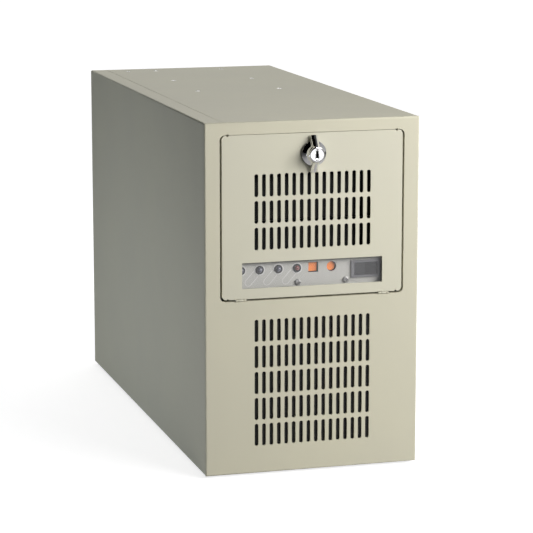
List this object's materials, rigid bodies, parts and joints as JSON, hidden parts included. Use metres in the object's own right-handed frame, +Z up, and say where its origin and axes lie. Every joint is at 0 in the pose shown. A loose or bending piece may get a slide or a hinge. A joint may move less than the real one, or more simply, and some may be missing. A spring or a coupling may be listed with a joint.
{
  "type": "desktop computer tower",
  "caption": "Compact sheet-steel computer tower with a lockable drop-down front door, windowed control panel, ventilated front and slide-off side cover.",
  "frame": {"origin": "on the floor under the middle of the case, at the bottom centre of its bounding box", "axes": "+X to the case's right as seen from the front, -Y out of the front, +Z up"},
  "size_m": [0.2, 0.5046, 0.3225],
  "materials": {
    "case_paint": "semi-matt beige paint",
    "door_paint": "semi-matt beige paint",
    "bay_plastic": "fine moulded texture",
    "zinc_steel": "galvanised",
    "screw_steel": "nickel plated",
    "foot_rubber": "matt",
    "panel_paint": "satin grey paint",
    "board_green": "solder mask",
    "bezel_black": "moulded",
    "lamp_clear": "smoky lens",
    "lamp_red": "red lens",
    "button_orange": "satin moulded",
    "switch_grey": "moulded",
    "switch_black": "moulded",
    "fan_black": "moulded",
    "filter_foam": "open foam",
    "window_acrylic": "clear acrylic",
    "lock_chrome": "polished",
    "cam_steel": "zinc plated",
    "standoff_brass": "turned",
    "socket_plastic": "moulded",
    "port_metal": "plated shells",
    "heatsink_aluminium": "extruded",
    "disk_metal": "cast"
  },
  "bodies": {
    "chassis": {"case_shell": "case_paint", "front_panel": "case_paint", "rear_panel": "zinc_steel", "feet": "foot_rubber", "roof_stiffener": "zinc_steel", "roof_screws": "screw_steel", "drive_cage": "zinc_steel", "bay_cover_top": "bay_plastic", "bay_cover_middle": "bay_plastic", "bay_cover_small": "bay_plastic", "hard_disk": "disk_metal", "control_panel": "panel_paint", "control_board": "board_green", "lamp_bezels": "bezel_black", "status_lamps": "lamp_clear", "alarm_lamp": "lamp_red", "button_switches": "bezel_black", "power_switch_body": "switch_grey", "filter_frame": "fan_black", "filter_pad": "filter_foam", "front_fan_frame": "fan_black", "mainboard": "board_green", "board_standoffs": "standoff_brass", "board_screws": "screw_steel", "io_shield": "zinc_steel", "io_ports": "port_metal", "card_sockets": "socket_plastic", "memory_module": "board_green", "cpu_heatsink": "heatsink_aluminium", "cpu_fan_frame": "fan_black", "slot_cover_1": "zinc_steel", "slot_cover_2": "zinc_steel", "slot_cover_3": "zinc_steel", "slot_cover_4": "zinc_steel", "slot_cover_5": "zinc_steel", "slot_cover_6": "zinc_steel", "slot_cover_7": "zinc_steel", "rear_screws": "screw_steel", "psu_case": "zinc_steel", "psu_fan_guard": "screw_steel", "psu_fan_frame": "fan_black", "psu_inlet": "switch_black", "hinge_frame_leaves": "case_paint", "hinge_pins": "screw_steel"},
    "door": {"door_panel": "door_paint", "hinge_door_leaves": "door_paint", "door_window": "window_acrylic", "lock_body": "lock_chrome"},
    "lock": {"lock_knob": "lock_chrome", "lock_cam": "cam_steel"},
    "left_cover": {"left_cover": "case_paint"},
    "thumbscrew_upper": {"thumbscrew_upper": "screw_steel"},
    "thumbscrew_lower": {"thumbscrew_lower": "screw_steel"},
    "alarm_button": {"alarm_button": "button_orange"},
    "reset_button": {"reset_button": "button_orange"},
    "power_rocker": {"power_rocker": "switch_black"},
    "front_fan_rotor": {"front_fan_rotor": "fan_black"},
    "cpu_fan_rotor": {"cpu_fan_rotor": "fan_black"},
    "psu_fan_rotor": {"psu_fan_rotor": "fan_black"},
    "psu_rocker": {"psu_rocker": "switch_black"}
  },
  "joints": [
    {"name": "door_hinge", "type": "hinge", "parent": "chassis", "child": "door", "pos_m": [0, -0.24, 0.1626], "axis": [1, 0, 0], "range_deg": [0, 170]},
    {"name": "lock_turn", "type": "hinge", "parent": "door", "child": "lock", "pos_m": [0, -0.24, 0.2927], "axis": [0, -1, 0], "range_deg": [0, 90]},
    {"name": "alarm_button_press", "type": "slide", "parent": "chassis", "child": "alarm_button", "axis": [0, 1, 0], "range_m": [0, 0.0015], "stiffness_N_per_m": 400},
    {"name": "reset_button_press", "type": "slide", "parent": "chassis", "child": "reset_button", "axis": [0, 1, 0], "range_m": [0, 0.0015], "stiffness_N_per_m": 400},
    {"name": "power_rocker_rock", "type": "hinge", "parent": "chassis", "child": "power_rocker", "pos_m": [0.0522, -0.2288, 0.1846], "axis": [0, 0, 1], "range_deg": [0, 20]},
    {"name": "left_cover_slide", "type": "slide", "parent": "chassis", "child": "left_cover", "axis": [0, 1, 0], "range_m": [0, 0.46]},
    {"name": "thumbscrew_upper_turn", "type": "hinge", "parent": "left_cover", "child": "thumbscrew_upper", "pos_m": [-0.092, 0.24, 0.2355], "axis": [0, 1, 0], "continuous": true},
    {"name": "thumbscrew_lower_turn", "type": "hinge", "parent": "left_cover", "child": "thumbscrew_lower", "pos_m": [-0.092, 0.24, 0.0895], "axis": [0, 1, 0], "continuous": true},
    {"name": "front_fan_spin", "type": "hinge", "parent": "chassis", "child": "front_fan_rotor", "pos_m": [0, -0.218, 0.086], "axis": [0, 1, 0], "continuous": true},
    {"name": "cpu_fan_spin", "type": "hinge", "parent": "chassis", "child": "cpu_fan_rotor", "pos_m": [0.04, 0.15, 0.2375], "axis": [1, 0, 0], "continuous": true},
    {"name": "psu_fan_spin", "type": "hinge", "parent": "chassis", "child": "psu_fan_rotor", "pos_m": [-0.039, 0.225, 0.2625], "axis": [0, 1, 0], "continuous": true},
    {"name": "psu_rocker_rock", "type": "hinge", "parent": "chassis", "child": "psu_rocker", "pos_m": [-0.039, 0.2373, 0.1755], "axis": [0, 0, 1], "range_deg": [0, 20]}
  ]
}
